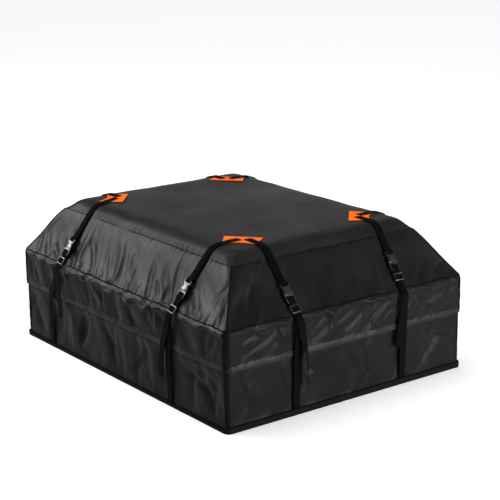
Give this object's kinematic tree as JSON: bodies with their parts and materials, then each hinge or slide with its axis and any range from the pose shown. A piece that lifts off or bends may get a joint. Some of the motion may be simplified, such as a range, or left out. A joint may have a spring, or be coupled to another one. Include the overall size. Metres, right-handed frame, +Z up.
{
  "type": "soft roof cargo bag",
  "caption": "Soft zipped vehicle-roof luggage bag with sloped lid sides, storm flap over the zip, bound base edge, webbing straps with side-release buckles and coloured corner patches",
  "frame": {"origin": "centre of the footprint at the underside of the base", "axes": "+X along the long sides towards the end seen at the right of the picture, -Y towards the long side seen at the left of it, +Z up"},
  "size_m": [1.1572, 0.9242, 0.478],
  "materials": {
    "coated_cloth": "coated weave, satin sheen",
    "base_cloth": "coated weave, matte",
    "binding": "folded ribbed tape, matte",
    "webbing": "woven flat strap, slight sheen",
    "patch_cloth": "bright orange coated cloth, satin",
    "zip_tape": "woven tape with moulded teeth",
    "buckle_nylon": "moulded, smooth and glossy",
    "zip_metal": "dark lacquer, semi-gloss"
  },
  "bodies": {
    "bag": {"base_panel": "base_cloth", "base_binding": "binding", "wall_front": "coated_cloth", "wall_right": "coated_cloth", "wall_rear": "coated_cloth", "wall_left": "coated_cloth", "lid_slope_front": "coated_cloth", "lid_slope_right": "coated_cloth", "lid_slope_rear": "coated_cloth", "lid_slope_left": "coated_cloth", "lid_top": "coated_cloth", "storm_flap": "coated_cloth", "zip_tape_lower": "zip_tape", "zip_tape_upper": "zip_tape", "corner_patch_front_right": "patch_cloth", "corner_patch_rear_right": "patch_cloth", "corner_patch_rear_left": "patch_cloth", "corner_patch_front_left": "patch_cloth", "upper_strap_front_right": "webbing", "lower_strap_front_right": "webbing", "buckle_socket_front_right": "buckle_nylon", "upper_strap_front_left": "webbing", "lower_strap_front_left": "webbing", "buckle_socket_front_left": "buckle_nylon", "upper_strap_right_front": "webbing", "lower_strap_right_front": "webbing", "buckle_socket_right_front": "buckle_nylon", "upper_strap_right_rear": "webbing", "lower_strap_right_rear": "webbing", "buckle_socket_right_rear": "buckle_nylon", "upper_strap_rear_right": "webbing", "lower_strap_rear_right": "webbing", "buckle_socket_rear_right": "buckle_nylon", "upper_strap_rear_left": "webbing", "lower_strap_rear_left": "webbing", "buckle_socket_rear_left": "buckle_nylon", "upper_strap_left_rear": "webbing", "lower_strap_left_rear": "webbing", "buckle_socket_left_rear": "buckle_nylon", "upper_strap_left_front": "webbing", "lower_strap_left_front": "webbing", "buckle_socket_left_front": "buckle_nylon"},
    "prong_front_right": {"buckle_prong_front_right": "buckle_nylon"},
    "slide_front_right": {"strap_slide_front_right": "buckle_nylon"},
    "prong_front_left": {"buckle_prong_front_left": "buckle_nylon"},
    "slide_front_left": {"strap_slide_front_left": "buckle_nylon"},
    "prong_right_front": {"buckle_prong_right_front": "buckle_nylon"},
    "slide_right_front": {"strap_slide_right_front": "buckle_nylon"},
    "prong_right_rear": {"buckle_prong_right_rear": "buckle_nylon"},
    "slide_right_rear": {"strap_slide_right_rear": "buckle_nylon"},
    "prong_rear_right": {"buckle_prong_rear_right": "buckle_nylon"},
    "slide_rear_right": {"strap_slide_rear_right": "buckle_nylon"},
    "prong_rear_left": {"buckle_prong_rear_left": "buckle_nylon"},
    "slide_rear_left": {"strap_slide_rear_left": "buckle_nylon"},
    "prong_left_rear": {"buckle_prong_left_rear": "buckle_nylon"},
    "slide_left_rear": {"strap_slide_left_rear": "buckle_nylon"},
    "prong_left_front": {"buckle_prong_left_front": "buckle_nylon"},
    "slide_left_front": {"strap_slide_left_front": "buckle_nylon"},
    "zip_runner": {"zip_slider": "zip_metal"},
    "zip_pull": {"zip_puller": "zip_metal"}
  },
  "joints": [
    {"name": "release_front_right", "type": "slide", "parent": "bag", "child": "prong_front_right", "axis": [-0.1228, -0.5726, -0.8106], "range_m": [0, 0.024], "deforming": ["lower_strap_front_right"]},
    {"name": "release_front_left", "type": "slide", "parent": "bag", "child": "prong_front_left", "axis": [-0.0828, -0.575, -0.814], "range_m": [0, 0.024], "deforming": ["lower_strap_front_left"]},
    {"name": "release_right_front", "type": "slide", "parent": "bag", "child": "prong_right_front", "axis": [0.6064, 0.0524, -0.7934], "range_m": [0, 0.024], "deforming": ["lower_strap_right_front"]},
    {"name": "release_right_rear", "type": "slide", "parent": "bag", "child": "prong_right_rear", "axis": [0.6064, -0.054, -0.7933], "range_m": [0, 0.024], "deforming": ["lower_strap_right_rear"]},
    {"name": "release_rear_right", "type": "slide", "parent": "bag", "child": "prong_rear_right", "axis": [-0.08, 0.5751, -0.8141], "range_m": [0, 0.024], "deforming": ["lower_strap_rear_right"]},
    {"name": "release_rear_left", "type": "slide", "parent": "bag", "child": "prong_rear_left", "axis": [0.0834, 0.575, -0.8139], "range_m": [0, 0.024], "deforming": ["lower_strap_rear_left"]},
    {"name": "release_left_rear", "type": "slide", "parent": "bag", "child": "prong_left_rear", "axis": [-0.6068, -0.0399, -0.7939], "range_m": [0, 0.024], "deforming": ["lower_strap_left_rear"]},
    {"name": "release_left_front", "type": "slide", "parent": "bag", "child": "prong_left_front", "axis": [-0.6067, 0.0418, -0.7938], "range_m": [0, 0.024], "deforming": ["lower_strap_left_front"]},
    {"name": "strap_slide_front_right", "type": "slide", "parent": "prong_front_right", "child": "slide_front_right", "axis": [-0.1228, -0.5726, -0.8106], "range_m": [-0.017, 0.003]},
    {"name": "strap_slide_front_left", "type": "slide", "parent": "prong_front_left", "child": "slide_front_left", "axis": [-0.0828, -0.575, -0.814], "range_m": [-0.001, 0.01]},
    {"name": "strap_slide_right_front", "type": "slide", "parent": "prong_right_front", "child": "slide_right_front", "axis": [0.6064, 0.0524, -0.7934], "range_m": [-0.001, 0.019]},
    {"name": "strap_slide_right_rear", "type": "slide", "parent": "prong_right_rear", "child": "slide_right_rear", "axis": [0.6064, -0.054, -0.7933], "range_m": [-0.003, 0.04]},
    {"name": "strap_slide_rear_right", "type": "slide", "parent": "prong_rear_right", "child": "slide_rear_right", "axis": [-0.08, 0.5751, -0.8141], "range_m": [-0.004, 0.013]},
    {"name": "strap_slide_rear_left", "type": "slide", "parent": "prong_rear_left", "child": "slide_rear_left", "axis": [0.0834, 0.575, -0.8139], "range_m": [-0.006, 0.017]},
    {"name": "strap_slide_left_rear", "type": "slide", "parent": "prong_left_rear", "child": "slide_left_rear", "axis": [-0.6068, -0.0399, -0.7939], "range_m": [-0.002, 0.02]},
    {"name": "strap_slide_left_front", "type": "slide", "parent": "prong_left_front", "child": "slide_left_front", "axis": [-0.6067, 0.0418, -0.7938], "range_m": [-0.003, 0.026]},
    {"name": "zip_run", "type": "slide", "parent": "bag", "child": "zip_runner", "axis": [0, -1, 0], "range_m": [0, 0.8]},
    {"name": "zip_puller_swing", "type": "hinge", "parent": "zip_runner", "child": "zip_pull", "pos_m": [0.55355, 0.398, 0.2657], "axis": [1, 0, 0], "range_deg": [-70, 70]}
  ]
}
